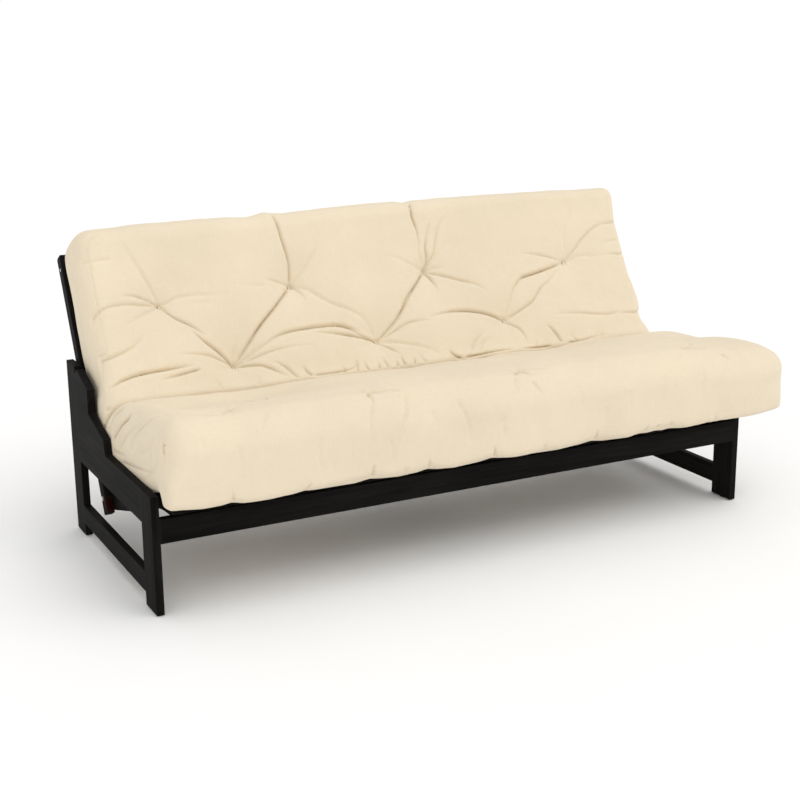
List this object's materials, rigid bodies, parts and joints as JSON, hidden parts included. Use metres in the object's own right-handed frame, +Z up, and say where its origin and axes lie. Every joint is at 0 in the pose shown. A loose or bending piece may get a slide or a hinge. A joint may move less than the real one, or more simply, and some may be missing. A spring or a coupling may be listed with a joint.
{
  "type": "futon sofa bed",
  "caption": "Armless wooden futon sofa bed: two end panels carry hinged slatted seat and back decks that slide and fold flat, under one folded tufted cotton mattress.",
  "frame": {"origin": "middle of the whole object's footprint, at floor level", "axes": "+X along the sofa, from the panel named left to the panel named right; +Y from the front edge towards the back; +Z up"},
  "size_m": [1.975, 0.9794, 0.908],
  "materials": {
    "espresso_wood": "semi-gloss espresso-black lacquer over solid wood",
    "slat_wood": "satin espresso stain",
    "wear_block_wood": "oiled reddish-brown hardwood",
    "dowel_wood": "plain beech",
    "zinc_steel": "zinc plated",
    "nylon": "moulded black nylon",
    "mattress_twill": "natural cream cotton twill, matt"
  },
  "bodies": {
    "frame": {"barrel_nuts": "zinc_steel", "floor_glides": "nylon", "front_stretcher": "espresso_wood", "left_front_leg": "espresso_wood", "left_lower_rail": "espresso_wood", "left_rear_post": "espresso_wood", "left_side_board": "espresso_wood", "panel_dowels": "dowel_wood", "rear_stretcher": "espresso_wood", "right_front_leg": "espresso_wood", "right_lower_rail": "espresso_wood", "right_rear_post": "espresso_wood", "right_side_board": "espresso_wood", "stretcher_studs": "zinc_steel"},
    "sliders": {"left_slider": "nylon", "right_slider": "nylon"},
    "seat_deck": {"fold_bolts": "zinc_steel", "fold_spacers": "zinc_steel", "left_seat_rail": "espresso_wood", "mattress_seat": "mattress_twill", "right_seat_rail": "espresso_wood", "seat_center_rail": "espresso_wood", "seat_front_rail": "espresso_wood", "seat_glide_pins": "zinc_steel", "seat_lock_nuts": "zinc_steel", "seat_rail_screws": "zinc_steel", "seat_rear_rail": "espresso_wood", "seat_slat_01": "slat_wood", "seat_slat_02": "slat_wood", "seat_slat_03": "slat_wood", "seat_slat_04": "slat_wood", "seat_slat_05": "slat_wood", "seat_slat_06": "slat_wood", "seat_slat_07": "slat_wood", "seat_slat_08": "slat_wood", "seat_slat_09": "slat_wood", "seat_slat_10": "slat_wood"},
    "back_deck": {"back_bottom_rail": "espresso_wood", "back_center_rail": "espresso_wood", "back_rail_screws": "zinc_steel", "back_slat_01": "slat_wood", "back_slat_02": "slat_wood", "back_slat_03": "slat_wood", "back_slat_04": "slat_wood", "back_slat_05": "slat_wood", "back_slat_06": "slat_wood", "back_slat_07": "slat_wood", "back_slat_08": "slat_wood", "back_slat_09": "slat_wood", "back_slat_10": "slat_wood", "back_top_rail": "espresso_wood", "left_back_rail": "espresso_wood", "mattress_back": "mattress_twill", "right_back_rail": "espresso_wood", "roller_lock_nuts": "zinc_steel", "roller_pins": "zinc_steel", "wear_blocks": "wear_block_wood"},
    "left_roller": {"left_back_roller": "nylon"},
    "right_roller": {"right_back_roller": "nylon"}
  },
  "joints": [
    {"name": "seat_slide", "type": "slide", "parent": "frame", "child": "sliders", "axis": [0, -0.952, 0.3061], "range_m": [0, 0.20573]},
    {"name": "seat_tilt", "type": "hinge", "parent": "sliders", "child": "seat_deck", "pos_m": [-0.035, -0.15581, 0.24602], "axis": [1, 0, 0], "range_deg": [0, 16]},
    {"name": "back_fold", "type": "hinge", "parent": "seat_deck", "child": "back_deck", "pos_m": [-0.035, 0.15014, 0.15205], "axis": [-1, 0, 0], "range_deg": [0, 79.7]},
    {"name": "left_roller_spin", "type": "hinge", "parent": "back_deck", "child": "left_roller", "pos_m": [-0.971, 0.26711, 0.38872], "axis": [1, 0, 0], "continuous": true},
    {"name": "right_roller_spin", "type": "hinge", "parent": "back_deck", "child": "right_roller", "pos_m": [0.901, 0.26711, 0.38872], "axis": [1, 0, 0], "continuous": true}
  ],
  "couplings": [
    {"joint": "seat_tilt", "follows": "seat_slide", "rad_per_m": 1.3574},
    {"joint": "back_fold", "follows": "seat_slide", "rad_per_m": 6.7615}
  ]
}
